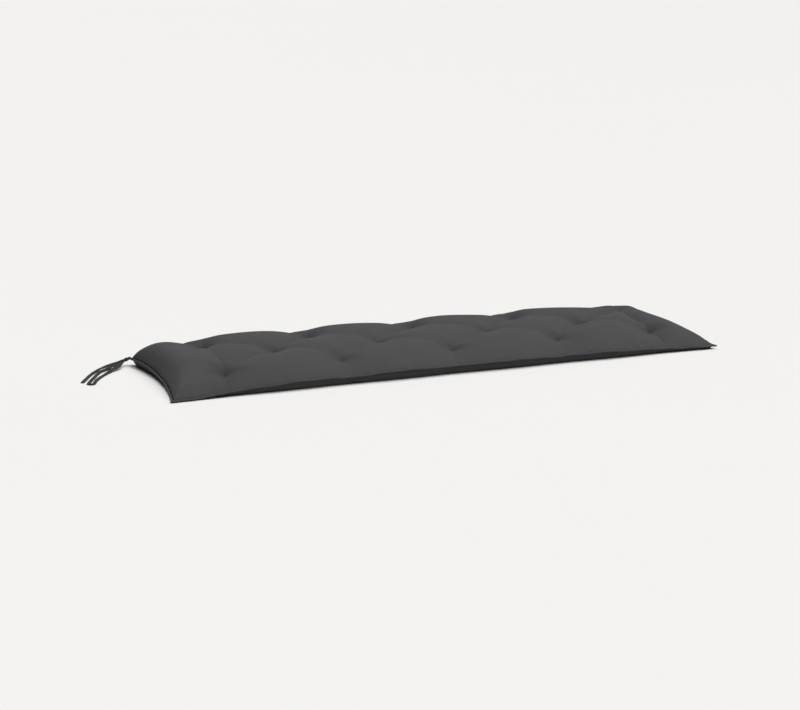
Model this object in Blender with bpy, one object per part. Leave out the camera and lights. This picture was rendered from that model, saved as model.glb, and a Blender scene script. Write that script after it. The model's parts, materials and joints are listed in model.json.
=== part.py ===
"""Bench cushion: a long tufted pad, piping in its seam, and a tie at its back left corner.

Metres, +Z up. The origin lies on the surface that the cushion rests on, under the middle of the pad.
+X runs along the pad and +Y towards its back.
"""
import math
from collections import namedtuple

import bmesh
import bpy
from mathutils import Vector

# ------------------------------------------------------------------ driving sizes
LENGTH = 1.80  # between the corners, over the piping
WIDTH = 0.50
PIPING_RADIUS = 0.003
GAP = 0.0003  # kept between pieces that touch

# the sides draw in between the pointed corners
END_DRAW = 0.028
SIDE_DRAW = 0.003
SCALLOP = 0.0025  # extra draw of the long sides opposite each tuft
CORNER_REACH = 12  # power that keeps the draw of a long side away from its corners

# how the two panels leave the seam: the reach of each shoulder, and how full it is
Shoulder = namedtuple("Shoulder", "reach power")
FRONT_SHOULDER = Shoulder(0.260, 3.3)
BACK_SHOULDER = Shoulder(0.081, 3.3)
END_SHOULDER = Shoulder(0.125, 3.9)
UNDER_SHOULDER = Shoulder(0.012, 2.0)
CORNER_FULLNESS = 4.0

# ------------------------------------------------------------------ tufts and creases
# each tuft with the depth of its pit, the depth half way along the creases that leave it rising to the right
# and back, falling to the left and back, and towards the nearer seam, and how far that last one leans left
Tuft = namedtuple("Tuft", "x y depth rising falling seam lean")
FRONT_TUFTS = [
    Tuft(-0.715, -0.146, 0.0460, 0.0230, 0.0150, 0.0350, 0.015),
    Tuft(-0.344, -0.139, 0.0370, 0.0240, 0.0050, 0.0170, 0.030),
    Tuft(0.019, -0.140, 0.0365, 0.0250, 0.0050, 0.0200, 0.032),
    Tuft(0.380, -0.138, 0.0365, 0.0255, 0.0050, 0.0180, 0.019),
    Tuft(0.727, -0.121, 0.0445, 0.0330, 0.0055, 0.0285, 0.005),
]
MIDDLE_TUFTS = [
    Tuft(-0.510, 0.009, 0.0370, 0.0255, 0.0100, 0.0, 0.0),
    Tuft(-0.167, 0.007, 0.0330, 0.0270, 0.0075, 0.0, 0.0),
    Tuft(0.201, 0.016, 0.0300, 0.0265, 0.0065, 0.0, 0.0),
    Tuft(0.540, 0.020, 0.0400, 0.0330, 0.0090, 0.0, 0.0),
]
BACK_TUFTS = [
    Tuft(-0.693, 0.154, 0.0395, 0.0, 0.0, 0.0230, 0.116),
    Tuft(-0.348, 0.158, 0.0380, 0.0, 0.0, 0.0170, 0.102),
    Tuft(0.003, 0.162, 0.0330, 0.0, 0.0, 0.0170, 0.125),
    Tuft(0.366, 0.161, 0.0370, 0.0, 0.0, 0.0225, 0.156),
    Tuft(0.780, 0.166, 0.0170, 0.0, 0.0, 0.0200, 0.340),
]
TUFT_PITCH = 0.36
TUFT_SPREAD = 0.126
TUFT_POWER = 2.1  # 1 is a straight-sided pit, more of it a sharper one between fuller puffs
TUFT_SKEW = 0.38  # how much steeper a pit is on its right and back than on its left and front
SKEW_ANGLE = math.radians(51)  # of the steepest side from +X
UNDER_TUFT_DEPTH = 0.012
UNDER_TUFT_SPREAD = 0.055
CREASE_END_DEPTH = 0.019  # of a crease where it meets a tuft
CREASE_SPREAD = 0.109
BACK_CREASE_SPREAD = 0.106
CREASE_POWER = 2.26
BLEND_POWER = 4.0  # of the smooth maximum that joins the troughs

# ------------------------------------------------------------------ heights along the pad
HeightRow = namedtuple("HeightRow", "along height")
# of the fullest puffs, from the left end to the right one
CROWN = [
    HeightRow(0.00, 0.0865),
    HeightRow(0.40, 0.0896),
    HeightRow(0.74, 0.0885),
    HeightRow(1.08, 0.0890),
    HeightRow(1.40, 0.0905),
    HeightRow(1.64, 0.0845),
    HeightRow(1.80, 0.0680),
]
# of the seam above the surface, from the left corner to the right one
FRONT_SEAM = [
    HeightRow(0.00, 0.0042),
    HeightRow(0.07, 0.0055),
    HeightRow(0.18, 0.0150),
    HeightRow(0.27, 0.0215),
    HeightRow(0.39, 0.0275),
    HeightRow(0.48, 0.0265),
    HeightRow(0.54, 0.0235),
    HeightRow(0.70, 0.0300),
    HeightRow(0.88, 0.0265),
    HeightRow(1.10, 0.0285),
    HeightRow(1.24, 0.0245),
    HeightRow(1.40, 0.0255),
    HeightRow(1.52, 0.0205),
    HeightRow(1.70, 0.0125),
    HeightRow(1.80, 0.0100),
]
BACK_SEAM = [
    HeightRow(0.00, 0.0225),
    HeightRow(0.10, 0.0270),
    HeightRow(0.45, 0.0310),
    HeightRow(0.90, 0.0290),
    HeightRow(1.35, 0.0310),
    HeightRow(1.70, 0.0240),
    HeightRow(1.80, 0.0120),
]
# from the front corner to the back one
LEFT_SEAM = [
    HeightRow(0.00, 0.0042),
    HeightRow(0.06, 0.0052),
    HeightRow(0.12, 0.0095),
    HeightRow(0.25, 0.0145),
    HeightRow(0.38, 0.0220),
    HeightRow(0.50, 0.0225),
]
RIGHT_SEAM = [
    HeightRow(0.00, 0.0100),
    HeightRow(0.08, 0.0160),
    HeightRow(0.25, 0.0260),
    HeightRow(0.42, 0.0200),
    HeightRow(0.50, 0.0120),
]

# ------------------------------------------------------------------ mesh steps
CELLS_ALONG = 88
CELLS_ACROSS = 32
EDGE_CROWDING = 0.22  # 0 spaces the rows evenly, more of it crowds them towards the seam

# ------------------------------------------------------------------ ties
TIE_WIDTH = 0.012
TIE_THICKNESS = 0.006
TIE_STEP = 0.008  # between the points of a tie's curve
TIE_GATHER = 0.30  # width of a strip where it is bunched into the knot, as a share of its full width
TIE_GATHER_RUN = 0.045
TieRow = namedtuple("TieRow", "x y z")
TAIL_ROUTE = [
    TieRow(-0.9200, 0.2448, 0.0198),
    TieRow(-0.9300, 0.2430, 0.0172),
    TieRow(-0.9425, 0.2395, 0.0145),
    TieRow(-0.9566, 0.2339, 0.0120),
    TieRow(-0.9715, 0.2274, 0.0100),
    TieRow(-0.9855, 0.2203, 0.0080),
    TieRow(-1.0007, 0.2100, 0.0065),
    TieRow(-1.0168, 0.1944, 0.0050),
    TieRow(-1.0303, 0.1770, 0.0040),
    TieRow(-1.0466, 0.1486, 0.0034),
    TieRow(-1.0615, 0.1186, 0.0032),
    TieRow(-1.0744, 0.0925, 0.0032),
    TieRow(-1.0818, 0.0781, 0.0032),
]
LOOP_ROUTE = [
    TieRow(-0.9190, 0.2418, 0.0172),
    TieRow(-0.9280, 0.2352, 0.0152),
    TieRow(-0.9370, 0.2290, 0.0133),
    TieRow(-0.9482, 0.2224, 0.0112),
    TieRow(-0.9599, 0.2174, 0.0090),
    TieRow(-0.9754, 0.2100, 0.0068),
    TieRow(-0.9897, 0.2000, 0.0052),
    TieRow(-1.0040, 0.1860, 0.0042),
    TieRow(-1.0159, 0.1674, 0.0036),
    TieRow(-1.0286, 0.1420, 0.0032),
    TieRow(-1.0423, 0.1138, 0.0032),
    TieRow(-1.0563, 0.0851, 0.0032),
    TieRow(-1.0653, 0.0620, 0.0032),
    TieRow(-1.0668, 0.0535, 0.0032),
    TieRow(-1.0618, 0.0475, 0.0032),
    TieRow(-1.0543, 0.0500, 0.0032),
    TieRow(-1.0503, 0.0580, 0.0032),
    TieRow(-1.0410, 0.0810, 0.0032),
    TieRow(-1.0281, 0.1062, 0.0032),
    TieRow(-1.0128, 0.1306, 0.0034),
    TieRow(-0.9929, 0.1568, 0.0042),
    TieRow(-0.9761, 0.1758, 0.0058),
    TieRow(-0.9597, 0.1914, 0.0080),
    TieRow(-0.9483, 0.2014, 0.0105),
    TieRow(-0.9380, 0.2120, 0.0128),
    TieRow(-0.9270, 0.2255, 0.0155),
    TieRow(-0.9174, 0.2380, 0.0178),
]
KNOT_CENTRE = Vector((-0.9098, 0.2462, 0.0203))
KNOT_RADII = (0.0098, 0.0058, 0.0052)
KNOT_TURN = math.radians(23)  # of its long axis from +X
KNOT_SLOPE = math.radians(9.5)  # down from the corner to the strips

# ------------------------------------------------------------------ colours
CLOTH_COLOUR = (0.053, 0.053, 0.056, 1.0)
PIPING_COLOUR = (0.058, 0.058, 0.061, 1.0)
TIE_COLOUR = (0.038, 0.038, 0.040, 1.0)
CLOTH_ROUGHNESS = 0.92

COLLECTION_NAME = "bench_cushion"

HALF_LENGTH = LENGTH / 2 - PIPING_RADIUS - GAP - PIPING_RADIUS
HALF_WIDTH = WIDTH / 2 - PIPING_RADIUS - GAP - PIPING_RADIUS

Crease = namedtuple("Crease", "start end depth_start depth_mid depth_end spread")


# ------------------------------------------------------------------ small helpers
def clear_scene():
    for item in list(bpy.data.objects):
        bpy.data.objects.remove(item, do_unlink=True)


def cloth_material(name, colour):
    material = bpy.data.materials.new(name)
    material.use_nodes = True
    shader = material.node_tree.nodes["Principled BSDF"]
    shader.inputs["Base Color"].default_value = colour
    shader.inputs["Roughness"].default_value = CLOTH_ROUGHNESS
    shader.inputs["Metallic"].default_value = 0.0
    return material


def add_to_collection(item, collection, material):
    for owner in list(item.users_collection):
        owner.objects.unlink(item)
    collection.objects.link(item)
    item.data.materials.clear()
    item.data.materials.append(material)


def smooth_lookup(rows, along):
    """The height at a place along a seam, eased between the rows of its table."""
    if along <= rows[0].along:
        return rows[0].height
    for low, high in zip(rows, rows[1:]):
        if along <= high.along:
            share = (along - low.along) / (high.along - low.along)
            eased = share * share * (3 - 2 * share)
            return low.height + (high.height - low.height) * eased
    return rows[-1].height


def arch(distance, shoulder):
    """0 at the seam and 1 from the shoulder's reach inwards, on a curve that is steepest at the seam."""
    share = min(max(distance / shoulder.reach, 0.0), 1.0)
    return 1 - (1 - share) ** shoulder.power


def corner_rise(first, second):
    """The two shoulders together: less than either near a corner, but fuller there than their product."""
    if min(first, second) <= 0:
        return 0.0
    return (first ** -CORNER_FULLNESS + second ** -CORNER_FULLNESS - 1) ** (-1 / CORNER_FULLNESS)


def trough(distance, spread, power):
    """1 at a pulled-in point or line and 0 from the spread outwards, pointed there as stretched cloth is."""
    share = min(distance / spread, 1.0)
    return (1 - share) ** power


# ------------------------------------------------------------------ where the cloth is pulled in
def slant_crease(first, second, depth):
    return Crease(Vector((first.x, first.y)), Vector((second.x, second.y)),
                  CREASE_END_DEPTH, depth, CREASE_END_DEPTH, CREASE_SPREAD)


def seam_crease(tuft, side, spread):
    return Crease(Vector((tuft.x, tuft.y)), Vector((tuft.x - tuft.lean, side)),
                  CREASE_END_DEPTH, tuft.seam, tuft.seam, spread)


def make_creases():
    """Creases that slant between neighbouring tufts, cross each end, and run from the outer tufts to the seam."""
    creases = []
    for left, tuft, right in zip([BACK_TUFTS[0]] + MIDDLE_TUFTS, FRONT_TUFTS, MIDDLE_TUFTS + [BACK_TUFTS[-1]]):
        creases.append(slant_crease(tuft, left, tuft.falling))
        creases.append(slant_crease(tuft, right, tuft.rising))
    for left, tuft, right in zip(BACK_TUFTS, MIDDLE_TUFTS, BACK_TUFTS[1:]):
        creases.append(slant_crease(tuft, left, tuft.falling))
        creases.append(slant_crease(tuft, right, tuft.rising))
    for tuft in FRONT_TUFTS:
        creases.append(seam_crease(tuft, -HALF_WIDTH, CREASE_SPREAD))
    for tuft in BACK_TUFTS:
        creases.append(seam_crease(tuft, HALF_WIDTH, BACK_CREASE_SPREAD))
    return creases


TUFTS = FRONT_TUFTS + MIDDLE_TUFTS + BACK_TUFTS
CREASES = make_creases()


def crease_dent(crease, place):
    """How far one crease pulls the cloth down at a place."""
    run = crease.end - crease.start
    share = (place - crease.start).dot(run) / run.length_squared
    share = min(max(share, 0.0), 1.0)
    away = (place - (crease.start + run * share)).length
    near_start = (1 - share) ** 3
    near_end = share ** 3
    depth = crease.depth_mid
    depth += (crease.depth_start - crease.depth_mid) * near_start
    depth += (crease.depth_end - crease.depth_mid) * near_end
    return depth * trough(away, crease.spread, CREASE_POWER)


def skewed_distance(place, tuft):
    """The distance from a tuft, counted longer towards its steep side."""
    away = place - Vector((tuft.x, tuft.y))
    steep = Vector((math.cos(SKEW_ANGLE), math.sin(SKEW_ANGLE)))
    return away.length + TUFT_SKEW * away.dot(steep)


def top_dent(place):
    """All the tufts and creases of the upper panel together, as a smooth maximum."""
    total = 0.0
    for tuft in TUFTS:
        total += (tuft.depth * trough(skewed_distance(place, tuft), TUFT_SPREAD, TUFT_POWER)) ** BLEND_POWER
    for crease in CREASES:
        total += crease_dent(crease, place) ** BLEND_POWER
    return total ** (1 / BLEND_POWER)


def bottom_dent(place):
    """The lower panel is pulled up a little round each tuft."""
    deepest = 0.0
    for tuft in TUFTS:
        away = math.hypot(place.x - tuft.x, place.y - tuft.y)
        deepest = max(deepest, UNDER_TUFT_DEPTH * trough(away, UNDER_TUFT_SPREAD, 2.0))
    return deepest


# ------------------------------------------------------------------ the pad's two panels
def along_pad(x):
    """The distance from the left corners, as the tables of heights count it."""
    return (x / HALF_LENGTH + 1) * LENGTH / 2


def seam_height(x, y):
    """The seam's height where a place lies on it, and a smooth mean of the four sides inside it."""
    along = along_pad(x)
    across = (y / HALF_WIDTH + 1) * WIDTH / 2
    sides = (
        (HALF_WIDTH + y, smooth_lookup(FRONT_SEAM, along)),
        (HALF_WIDTH - y, smooth_lookup(BACK_SEAM, along)),
        (HALF_LENGTH + x, smooth_lookup(LEFT_SEAM, across)),
        (HALF_LENGTH - x, smooth_lookup(RIGHT_SEAM, across)),
    )
    weights = [1 / (max(distance, 1e-6) ** 2) for distance, height in sides]
    return sum(weight * height for weight, (distance, height) in zip(weights, sides)) / sum(weights)


def drawn_in(x, y):
    """The plan position of a place on the flat panel, once filling has drawn the sides in."""
    u = x / HALF_LENGTH
    v = y / HALF_WIDTH
    end_pull = END_DRAW * (1 - v ** 2) * abs(u) ** 9
    tuft_pull = SCALLOP * math.cos(2 * math.pi * x / TUFT_PITCH) * (1 - abs(u) ** CORNER_REACH)
    side_pull = (SIDE_DRAW * (1 - abs(u) ** CORNER_REACH) + tuft_pull) * abs(v) ** 3
    return x - math.copysign(end_pull, x), y - math.copysign(side_pull, y)


def top_point(x, y):
    side_shoulder = FRONT_SHOULDER if y < 0 else BACK_SHOULDER
    rise = corner_rise(arch(HALF_LENGTH - abs(x), END_SHOULDER), arch(HALF_WIDTH - abs(y), side_shoulder))
    seam = seam_height(x, y)
    fullness = smooth_lookup(CROWN, along_pad(x)) - top_dent(Vector((x, y)))
    plan_x, plan_y = drawn_in(x, y)
    return plan_x, plan_y, seam + (fullness - seam) * rise


def bottom_point(x, y):
    inwards = arch(HALF_LENGTH - abs(x), UNDER_SHOULDER) * arch(HALF_WIDTH - abs(y), UNDER_SHOULDER)
    plan_x, plan_y = drawn_in(x, y)
    return plan_x, plan_y, seam_height(x, y) * (1 - inwards) + bottom_dent(Vector((x, y)))


def crowded(share):
    """Moves a row's place, from -1 to 1, towards the nearer seam."""
    return share + EDGE_CROWDING * share * (1 - share * share)


def add_panel(pad, shape):
    """One grid of cloth, laid out flat and then moved to its shape. Returns the vertices on its rim."""
    grid = bmesh.ops.create_grid(pad, x_segments=CELLS_ALONG, y_segments=CELLS_ACROSS, size=1.0)
    rim = []
    for vert in grid["verts"]:
        share_x, share_y = vert.co.x, vert.co.y
        if max(abs(share_x), abs(share_y)) > 1 - 1e-4:
            rim.append(vert)
        vert.co = shape(share_x * HALF_LENGTH, crowded(share_y) * HALF_WIDTH)
    return grid["verts"], rim


def build_cushion(collection, material):
    pad = bmesh.new()
    top_verts, top_rim = add_panel(pad, top_point)
    bottom_verts, bottom_rim = add_panel(pad, bottom_point)
    bottom_set = set(bottom_verts)
    under = [face for face in pad.faces if face.verts[0] in bottom_set]
    bmesh.ops.reverse_faces(pad, faces=under)
    bmesh.ops.remove_doubles(pad, verts=top_rim + bottom_rim, dist=1e-6)
    mesh = bpy.data.meshes.new("cushion")
    pad.to_mesh(mesh)
    pad.free()
    mesh.shade_smooth()
    item = bpy.data.objects.new("cushion", mesh)
    add_to_collection(item, collection, material)


# ------------------------------------------------------------------ piping
def seam_loop():
    """The seam's points, once round from the front left corner."""
    across = [crowded(2 * step / CELLS_ACROSS - 1) * HALF_WIDTH for step in range(CELLS_ACROSS + 1)]
    along = [(2 * step / CELLS_ALONG - 1) * HALF_LENGTH for step in range(CELLS_ALONG + 1)]
    flat = [(x, -HALF_WIDTH) for x in along[:-1]]
    flat += [(HALF_LENGTH, y) for y in across[:-1]]
    flat += [(x, HALF_WIDTH) for x in reversed(along[1:])]
    flat += [(-HALF_LENGTH, y) for y in reversed(across[1:])]
    return [Vector(top_point(x, y)) for x, y in flat]


def build_piping(collection, material):
    """A cord outside the seam, its centre one radius and the gap away from the seam's edge."""
    loop = seam_loop()
    count = len(loop)
    curve = bpy.data.curves.new("welt", "CURVE")
    curve.dimensions = "3D"
    curve.bevel_depth = PIPING_RADIUS
    curve.bevel_resolution = 2
    spline = curve.splines.new("POLY")
    spline.points.add(count - 1)
    for index, point in enumerate(loop):
        before = (point - loop[index - 1]).to_2d().normalized()
        after = (loop[(index + 1) % count] - point).to_2d().normalized()
        outward = Vector((before.y + after.y, -before.x - after.x)).normalized()
        mitre = outward.dot(Vector((before.y, -before.x)))
        offset = (PIPING_RADIUS + GAP) / mitre
        spline.points[index].co = (point.x + outward.x * offset, point.y + outward.y * offset, point.z, 1.0)
    spline.use_cyclic_u = True
    item = bpy.data.objects.new("welt", curve)
    add_to_collection(item, collection, material)


# ------------------------------------------------------------------ ties
def smooth_route(rows, step):
    """Evenly spaced points on a Catmull-Rom curve through the rows of a route."""
    knots = [Vector(row) for row in rows]
    knots = [2 * knots[0] - knots[1]] + knots + [2 * knots[-1] - knots[-2]]
    dense = []
    for before, low, high, after in zip(knots, knots[1:], knots[2:], knots[3:]):
        for part in range(12):
            t = part / 12
            dense.append(0.5 * (2 * low + (high - before) * t
                                + (2 * before - 5 * low + 4 * high - after) * t ** 2
                                + (3 * low - before - 3 * high + after) * t ** 3))
    dense.append(knots[-2])
    total = sum((b - a).length for a, b in zip(dense, dense[1:]))
    count = max(2, round(total / step))
    spaced = [dense[0]]
    walked = 0.0
    for a, b in zip(dense, dense[1:]):
        length = (b - a).length
        while len(spaced) < count and walked + length >= total * len(spaced) / count:
            spaced.append(a.lerp(b, (total * len(spaced) / count - walked) / length))
        walked += length
    spaced.append(dense[-1])
    return spaced


def build_strip(name, rows, collection, material, gathered_ends):
    """A narrow sewn strip lying flat: a curve with a flat bevel, bunched where it enters the knot."""
    points = smooth_route(rows, TIE_STEP)
    curve = bpy.data.curves.new(name, "CURVE")
    curve.dimensions = "3D"
    curve.twist_mode = "Z_UP"
    curve.extrude = (TIE_WIDTH - TIE_THICKNESS) / 2
    curve.bevel_depth = TIE_THICKNESS / 2
    curve.bevel_resolution = 2
    curve.use_fill_caps = True
    spline = curve.splines.new("POLY")
    spline.points.add(len(points) - 1)
    last = len(points) - 1
    for index, point in enumerate(points):
        from_knot = index * TIE_STEP
        if gathered_ends == 2:
            from_knot = min(from_knot, (last - index) * TIE_STEP)
        share = min(from_knot / TIE_GATHER_RUN, 1.0)
        spline.points[index].co = (*point, 1.0)
        spline.points[index].radius = TIE_GATHER + (1 - TIE_GATHER) * share * share * (3 - 2 * share)
        spline.points[index].tilt = math.radians(90)
    item = bpy.data.objects.new(name, curve)
    add_to_collection(item, collection, material)


def build_knot(collection, material):
    knot = bmesh.new()
    bmesh.ops.create_uvsphere(knot, u_segments=14, v_segments=9, radius=1.0)
    for vert in knot.verts:
        vert.co = [value * radius for value, radius in zip(vert.co, KNOT_RADII)]
    mesh = bpy.data.meshes.new("tie_knot")
    knot.to_mesh(mesh)
    knot.free()
    mesh.shade_smooth()
    item = bpy.data.objects.new("tie_knot", mesh)
    item.location = KNOT_CENTRE
    item.rotation_euler = (0, -KNOT_SLOPE, KNOT_TURN)
    add_to_collection(item, collection, material)


def main():
    clear_scene()
    collection = bpy.data.collections.new(COLLECTION_NAME)
    bpy.context.scene.collection.children.link(collection)
    cloth = cloth_material("cover_cloth", CLOTH_COLOUR)
    piping = cloth_material("piping_cloth", PIPING_COLOUR)
    tie = cloth_material("tie_cloth", TIE_COLOUR)
    build_cushion(collection, cloth)
    build_piping(collection, piping)
    build_knot(collection, tie)
    build_strip("tie_tail", TAIL_ROUTE, collection, tie, gathered_ends=1)
    build_strip("tie_loop", LOOP_ROUTE, collection, tie, gathered_ends=2)


main()
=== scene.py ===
"""Bench cushion: the cloth, piping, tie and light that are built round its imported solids.

Laid out as a Blender add-on and run as a script. Metres, +Z up, in the frame of the solids: the origin lies
under the middle of the pad, +X runs along it and +Y towards its back.
"""

import json
import math
from collections import namedtuple

import bmesh
import bpy
import numpy as np
from mathutils import Euler, Matrix, Vector

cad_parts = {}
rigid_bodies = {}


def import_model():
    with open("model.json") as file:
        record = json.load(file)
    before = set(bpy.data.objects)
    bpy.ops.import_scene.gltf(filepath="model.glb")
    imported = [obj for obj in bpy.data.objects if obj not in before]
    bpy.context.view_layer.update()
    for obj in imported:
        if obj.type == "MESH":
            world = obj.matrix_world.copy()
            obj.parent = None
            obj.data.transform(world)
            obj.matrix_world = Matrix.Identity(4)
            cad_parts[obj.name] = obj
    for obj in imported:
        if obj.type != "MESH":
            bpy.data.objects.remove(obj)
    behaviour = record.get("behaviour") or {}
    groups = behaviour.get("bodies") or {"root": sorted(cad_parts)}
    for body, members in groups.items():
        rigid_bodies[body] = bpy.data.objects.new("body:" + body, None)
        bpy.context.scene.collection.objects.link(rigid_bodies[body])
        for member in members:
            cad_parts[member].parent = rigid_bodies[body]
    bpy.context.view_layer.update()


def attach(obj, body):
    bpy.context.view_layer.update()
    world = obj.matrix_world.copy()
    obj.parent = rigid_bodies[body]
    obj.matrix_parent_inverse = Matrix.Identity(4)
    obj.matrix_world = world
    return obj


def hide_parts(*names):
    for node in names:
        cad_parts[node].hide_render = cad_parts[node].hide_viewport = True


bl_info = {
    "name": "Bench Cushion",
    "version": (1, 0, 0),
    "blender": (4, 5, 0),
    "location": "View3D > Sidebar > Bench Cushion",
    "description": "Builds a tufted bench cushion with piping and a cloth tie",
    "category": "Object",
}

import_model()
BODY = "root"

# ------------------------------------------------------------------ sizes shared with the solids
LENGTH = 1.80
WIDTH = 0.50
PIPING_RADIUS = 0.003
GAP = 0.0003
HALF_LENGTH = LENGTH / 2 - 2 * PIPING_RADIUS - GAP
HALF_WIDTH = WIDTH / 2 - 2 * PIPING_RADIUS - GAP
END_DRAW = 0.028
END_REACH = 9
SIDE_DRAW = 0.003
SIDE_REACH = 3
SCALLOP = 0.0025
CORNER_REACH = 12

# The numbers of the upper shoulders, the tufts and their creases are rounded from a least-squares fit of this
# shape to the photograph's shading and outline. They weren't set by hand.
Shoulder = namedtuple("Shoulder", "reach power")
FRONT_SHOULDER = Shoulder(0.260, 3.3)
BACK_SHOULDER = Shoulder(0.081, 3.3)
END_SHOULDER = Shoulder(0.125, 3.9)
UNDER_SHOULDER = Shoulder(0.012, 2.0)
CORNER_FULLNESS = 4.0

Tuft = namedtuple("Tuft", "x y depth rising falling seam lean")
FRONT_TUFTS = [
    Tuft(-0.715, -0.146, 0.0460, 0.0230, 0.0150, 0.0350, 0.015),
    Tuft(-0.344, -0.139, 0.0370, 0.0240, 0.0050, 0.0170, 0.030),
    Tuft(0.019, -0.140, 0.0365, 0.0250, 0.0050, 0.0200, 0.032),
    Tuft(0.380, -0.138, 0.0365, 0.0255, 0.0050, 0.0180, 0.019),
    Tuft(0.727, -0.121, 0.0445, 0.0330, 0.0055, 0.0285, 0.005),
]
MIDDLE_TUFTS = [
    Tuft(-0.510, 0.009, 0.0370, 0.0255, 0.0100, 0.0, 0.0),
    Tuft(-0.167, 0.007, 0.0330, 0.0270, 0.0075, 0.0, 0.0),
    Tuft(0.201, 0.016, 0.0300, 0.0265, 0.0065, 0.0, 0.0),
    Tuft(0.540, 0.020, 0.0400, 0.0330, 0.0090, 0.0, 0.0),
]
BACK_TUFTS = [
    Tuft(-0.693, 0.154, 0.0395, 0.0, 0.0, 0.0230, 0.116),
    Tuft(-0.348, 0.158, 0.0380, 0.0, 0.0, 0.0170, 0.102),
    Tuft(0.003, 0.162, 0.0330, 0.0, 0.0, 0.0170, 0.125),
    Tuft(0.366, 0.161, 0.0370, 0.0, 0.0, 0.0225, 0.156),
    Tuft(0.780, 0.166, 0.0170, 0.0, 0.0, 0.0200, 0.340),
]
TUFT_PITCH = 0.36
TUFT_SPREAD = 0.126
TUFT_POWER = 2.1
TUFT_SKEW = 0.38
SKEW_ANGLE = math.radians(51)
UNDER_TUFT_DEPTH = 0.012
UNDER_TUFT_SPREAD = 0.055
UNDER_TUFT_POWER = 2.0
CREASE_END_DEPTH = 0.019
CREASE_SPREAD = 0.109
BACK_CREASE_SPREAD = 0.106
CREASE_POWER = 2.26
CREASE_END_POWER = 3
BLEND_POWER = 4.0

# The left seam is rounded from a second fit, to the outline. The crown and the other seams were read off the
# photograph and adjusted against its outline, the crown with a fit as well.
HeightRow = namedtuple("HeightRow", "along height")
CROWN = [
    HeightRow(0.00, 0.0865),
    HeightRow(0.40, 0.0896),
    HeightRow(0.74, 0.0885),
    HeightRow(1.08, 0.0890),
    HeightRow(1.40, 0.0905),
    HeightRow(1.64, 0.0845),
    HeightRow(1.80, 0.0680),
]
FRONT_SEAM = [
    HeightRow(0.00, 0.0042),
    HeightRow(0.07, 0.0055),
    HeightRow(0.18, 0.0150),
    HeightRow(0.27, 0.0215),
    HeightRow(0.39, 0.0275),
    HeightRow(0.48, 0.0265),
    HeightRow(0.54, 0.0235),
    HeightRow(0.70, 0.0300),
    HeightRow(0.88, 0.0265),
    HeightRow(1.10, 0.0285),
    HeightRow(1.24, 0.0245),
    HeightRow(1.40, 0.0255),
    HeightRow(1.52, 0.0205),
    HeightRow(1.70, 0.0125),
    HeightRow(1.80, 0.0100),
]
BACK_SEAM = [
    HeightRow(0.00, 0.0225),
    HeightRow(0.10, 0.0270),
    HeightRow(0.45, 0.0310),
    HeightRow(0.90, 0.0290),
    HeightRow(1.35, 0.0310),
    HeightRow(1.70, 0.0240),
    HeightRow(1.80, 0.0120),
]
LEFT_SEAM = [
    HeightRow(0.00, 0.0042),
    HeightRow(0.06, 0.0052),
    HeightRow(0.12, 0.0095),
    HeightRow(0.25, 0.0145),
    HeightRow(0.38, 0.0220),
    HeightRow(0.50, 0.0225),
]
RIGHT_SEAM = [
    HeightRow(0.00, 0.0100),
    HeightRow(0.08, 0.0160),
    HeightRow(0.25, 0.0260),
    HeightRow(0.42, 0.0200),
    HeightRow(0.50, 0.0120),
]

# Points picked along each strip in the photograph, with guessed heights, turned into metres by the camera's
# projection and adjusted since.
TIE_WIDTH = 0.012
TIE_THICKNESS = 0.006
TIE_GATHER = 0.30
TIE_GATHER_RUN = 0.045
TieRow = namedtuple("TieRow", "x y z")
TAIL_ROUTE = [
    TieRow(-0.9200, 0.2448, 0.0198),
    TieRow(-0.9300, 0.2430, 0.0172),
    TieRow(-0.9425, 0.2395, 0.0145),
    TieRow(-0.9566, 0.2339, 0.0120),
    TieRow(-0.9715, 0.2274, 0.0100),
    TieRow(-0.9855, 0.2203, 0.0080),
    TieRow(-1.0007, 0.2100, 0.0065),
    TieRow(-1.0168, 0.1944, 0.0050),
    TieRow(-1.0303, 0.1770, 0.0040),
    TieRow(-1.0466, 0.1486, 0.0034),
    TieRow(-1.0615, 0.1186, 0.0032),
    TieRow(-1.0744, 0.0925, 0.0032),
    TieRow(-1.0818, 0.0781, 0.0032),
]
LOOP_ROUTE = [
    TieRow(-0.9190, 0.2418, 0.0172),
    TieRow(-0.9280, 0.2352, 0.0152),
    TieRow(-0.9370, 0.2290, 0.0133),
    TieRow(-0.9482, 0.2224, 0.0112),
    TieRow(-0.9599, 0.2174, 0.0090),
    TieRow(-0.9754, 0.2100, 0.0068),
    TieRow(-0.9897, 0.2000, 0.0052),
    TieRow(-1.0040, 0.1860, 0.0042),
    TieRow(-1.0159, 0.1674, 0.0036),
    TieRow(-1.0286, 0.1420, 0.0032),
    TieRow(-1.0423, 0.1138, 0.0032),
    TieRow(-1.0563, 0.0851, 0.0032),
    TieRow(-1.0653, 0.0620, 0.0032),
    TieRow(-1.0668, 0.0535, 0.0032),
    TieRow(-1.0618, 0.0475, 0.0032),
    TieRow(-1.0543, 0.0500, 0.0032),
    TieRow(-1.0503, 0.0580, 0.0032),
    TieRow(-1.0410, 0.0810, 0.0032),
    TieRow(-1.0281, 0.1062, 0.0032),
    TieRow(-1.0128, 0.1306, 0.0034),
    TieRow(-0.9929, 0.1568, 0.0042),
    TieRow(-0.9761, 0.1758, 0.0058),
    TieRow(-0.9597, 0.1914, 0.0080),
    TieRow(-0.9483, 0.2014, 0.0105),
    TieRow(-0.9380, 0.2120, 0.0128),
    TieRow(-0.9270, 0.2255, 0.0155),
    TieRow(-0.9174, 0.2380, 0.0178),
]
KNOT_CENTRE = Vector((-0.9098, 0.2462, 0.0203))
KNOT_RADII = (0.0098, 0.0058, 0.0052)
KNOT_TURN = math.radians(23)
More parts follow.
